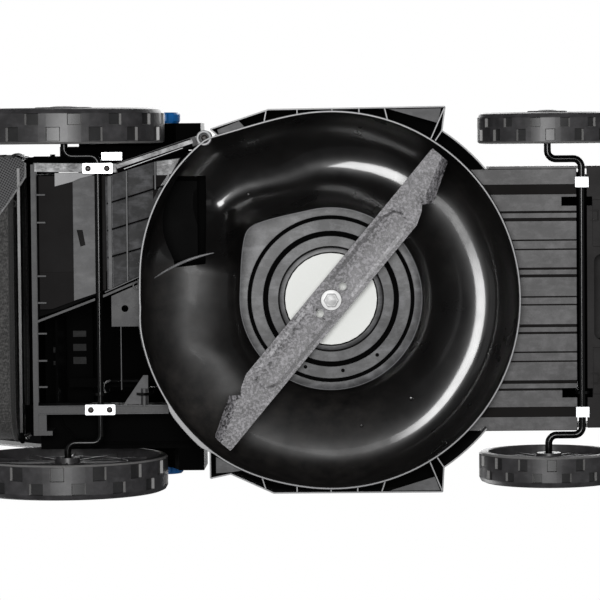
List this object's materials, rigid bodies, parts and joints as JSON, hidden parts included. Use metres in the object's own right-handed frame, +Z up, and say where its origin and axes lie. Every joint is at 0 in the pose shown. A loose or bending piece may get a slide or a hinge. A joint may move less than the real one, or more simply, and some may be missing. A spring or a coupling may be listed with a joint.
{
  "type": "cordless rotary lawn mower",
  "caption": "Walk-behind battery lawn mower with a ribbed plastic deck, bar blade, height-adjustable wheels, folding handle and rear grass bag.",
  "frame": {"origin": "centre of the overall box in plan, on the ground under the wheels", "axes": "+X to the front of the mower, +Y to its left side, +Z up"},
  "size_m": [1.2438, 0.4342, 1.0212],
  "materials": {
    "deck_plastic": "glossy black moulded plastic",
    "chassis_plastic": "satin dark grey moulded plastic",
    "tunnel_plastic": "satin black moulded plastic",
    "hood_plastic": "satin black moulded plastic",
    "lid_plastic": "satin grey plastic",
    "blue_plastic": "blue plastic",
    "motor_flange": "off-white coated motor flange and casing",
    "bright_steel": "zinc-plated steel",
    "blade_steel": "dark grey coated pressed steel",
    "black_steel": "black enamelled steel rod",
    "black_tube": "black enamelled tube",
    "wheel_tread": "black moulded wheel with a blocky tread",
    "hubcap_plastic": "satin black hubcap",
    "bag_cloth": "black woven bag fabric",
    "grip_foam": "black foam grip"
  },
  "bodies": {
    "chassis": {"deck_housing": "deck_plastic", "front_panel": "deck_plastic", "front_nose": "deck_plastic", "rear_chassis": "chassis_plastic", "chute_tunnel": "tunnel_plastic", "chute_floor": "chassis_plastic", "hood": "hood_plastic", "handle_bracket_right": "hood_plastic", "handle_bracket_left": "hood_plastic", "battery_housing": "hood_plastic", "battery_pack": "lid_plastic", "safety_key": "blue_plastic", "carry_handle": "hood_plastic", "motor_can": "motor_flange", "height_rack": "bright_steel", "front_clip_right": "bright_steel", "front_clip_left": "bright_steel", "rear_clamp_right": "bright_steel", "rear_clamp_left": "bright_steel", "axle_stop_plate": "bright_steel", "flap_pin": "bright_steel"},
    "cutter": {"motor_shaft": "bright_steel", "blade_hub": "bright_steel", "blade": "blade_steel", "blade_washer": "bright_steel", "blade_bolt": "bright_steel"},
    "rear_axle": {"rear_axle_rod": "black_steel"},
    "front_axle": {"front_axle_rod": "black_steel"},
    "linkage": {"link_rod": "bright_steel"},
    "lever": {"height_lever": "bright_steel", "lever_grip": "blue_plastic"},
    "lid": {"battery_lid": "lid_plastic"},
    "flap": {"rear_flap": "hood_plastic"},
    "bag": {"bag_frame": "black_steel", "bag_fabric": "bag_cloth", "bag_lid": "hood_plastic", "bag_handle": "hood_plastic"},
    "level_vane": {"level_flap": "blue_plastic"},
    "lower_frame": {"lower_handle_right": "black_tube", "lower_handle_left": "black_tube"},
    "upper_frame": {"upper_handle": "black_tube", "grip_sleeve": "grip_foam", "switch_box": "hood_plastic", "bail_bracket": "hood_plastic"},
    "button": {"start_button": "blue_plastic"},
    "bail": {"bail_lever": "black_steel"},
    "front_wheel_body_right": {"front_wheel_right": "wheel_tread", "front_hubcap_right": "hubcap_plastic"},
    "rear_wheel_body_right": {"rear_wheel_right": "wheel_tread", "rear_hubcap_right": "hubcap_plastic"},
    "knob_right": {"handle_knob_right": "blue_plastic"},
    "front_wheel_body_left": {"front_wheel_left": "wheel_tread", "front_hubcap_left": "hubcap_plastic"},
    "rear_wheel_body_left": {"rear_wheel_left": "wheel_tread", "rear_hubcap_left": "hubcap_plastic"},
    "knob_left": {"handle_knob_left": "blue_plastic"},
    "clamp_right": {"clamp_lever_right": "blue_plastic"},
    "clamp_left": {"clamp_lever_left": "blue_plastic"}
  },
  "joints": [
    {"name": "blade_spin", "type": "hinge", "parent": "chassis", "child": "cutter", "pos_m": [0.2839, 0, 0.06], "axis": [0, 0, 1], "continuous": true},
    {"name": "rear_axle_height", "type": "hinge", "parent": "chassis", "child": "rear_axle", "pos_m": [0.0244, 0, 0.1125], "axis": [0, 1, 0], "range_deg": [-30, 30]},
    {"name": "front_axle_height", "type": "hinge", "parent": "chassis", "child": "front_axle", "pos_m": [0.5624, 0, 0.0775], "axis": [0, 1, 0], "range_deg": [-30, 30]},
    {"name": "linkage_swing", "type": "hinge", "parent": "rear_axle", "child": "linkage", "pos_m": [0.0244, 0.106, 0.1765], "axis": [0, 1, 0], "range_deg": [-30, 30]},
    {"name": "height_lever_turn", "type": "hinge", "parent": "chassis", "child": "lever", "pos_m": [0.0739, 0.106, 0.10928], "axis": [0, 1, 0], "range_deg": [-30, 30]},
    {"name": "front_wheel_spin_right", "type": "hinge", "parent": "front_axle", "child": "front_wheel_body_right", "pos_m": [0.5249, -0.17, 0.0775], "axis": [0, 1, 0], "continuous": true},
    {"name": "rear_wheel_spin_right", "type": "hinge", "parent": "rear_axle", "child": "rear_wheel_body_right", "pos_m": [-0.0131, -0.174, 0.1125], "axis": [0, 1, 0], "continuous": true},
    {"name": "handle_knob_turn_right", "type": "hinge", "parent": "chassis", "child": "knob_right", "pos_m": [0.0909, -0.1865, 0.252], "axis": [0, 1, 0], "continuous": true},
    {"name": "front_wheel_spin_left", "type": "hinge", "parent": "front_axle", "child": "front_wheel_body_left", "pos_m": [0.5249, 0.17, 0.0775], "axis": [0, 1, 0], "continuous": true},
    {"name": "rear_wheel_spin_left", "type": "hinge", "parent": "rear_axle", "child": "rear_wheel_body_left", "pos_m": [-0.0131, 0.174, 0.1125], "axis": [0, 1, 0], "continuous": true},
    {"name": "handle_knob_turn_left", "type": "hinge", "parent": "chassis", "child": "knob_left", "pos_m": [0.0909, 0.1865, 0.252], "axis": [0, 1, 0], "continuous": true},
    {"name": "battery_lid_open", "type": "hinge", "parent": "chassis", "child": "lid", "pos_m": [0.3339, 0, 0.2535], "axis": [0, -1, 0], "range_deg": [-75, 0]},
    {"name": "rear_flap_lift", "type": "hinge", "parent": "chassis", "child": "flap", "pos_m": [-0.0381, 0, 0.271], "axis": [0, 1, 0], "range_deg": [0, 35]},
    {"name": "bag_pull_off", "type": "slide", "parent": "chassis", "child": "bag", "axis": [-1, 0, 0], "range_m": [0, 0.3]},
    {"name": "level_flap_lift", "type": "hinge", "parent": "bag", "child": "level_vane", "pos_m": [-0.2769, 0, 0.3918], "axis": [0, 1, 0], "range_deg": [0, 25]},
    {"name": "lower_handle_fold", "type": "hinge", "parent": "chassis", "child": "lower_frame", "pos_m": [0.0909, 0, 0.252], "axis": [0, -1, 0], "range_deg": [-130, 0]},
    {"name": "upper_handle_fold", "type": "hinge", "parent": "lower_frame", "child": "upper_frame", "pos_m": [-0.20618, 0, 0.56288], "axis": [0, 1, 0], "range_deg": [0, 150]},
    {"name": "start_button_press", "type": "slide", "parent": "upper_frame", "child": "button", "axis": [-0.723, 0, -0.6909], "range_m": [0, 0.005], "stiffness_N_per_m": 400, "springref_m": -0.002},
    {"name": "bail_squeeze", "type": "hinge", "parent": "upper_frame", "child": "bail", "pos_m": [-0.528, 0, 0.90543], "axis": [0, -1, 0], "range_deg": [0, 28], "stiffness_Nm_per_rad": 0.8, "springref_deg": -20.05},
    {"name": "clamp_lever_turn_right", "type": "hinge", "parent": "upper_frame", "child": "clamp_right", "pos_m": [-0.20618, -0.2035, 0.56288], "axis": [0, 1, 0], "range_deg": [0, 90]},
    {"name": "clamp_lever_turn_left", "type": "hinge", "parent": "upper_frame", "child": "clamp_left", "pos_m": [-0.20618, 0.2035, 0.56288], "axis": [0, 1, 0], "range_deg": [0, 90]}
  ],
  "couplings": [
    {"joint": "front_axle_height", "follows": "rear_axle_height", "ratio": 1},
    {"joint": "linkage_swing", "follows": "rear_axle_height", "ratio": -1},
    {"joint": "height_lever_turn", "follows": "rear_axle_height", "ratio": 1}
  ]
}
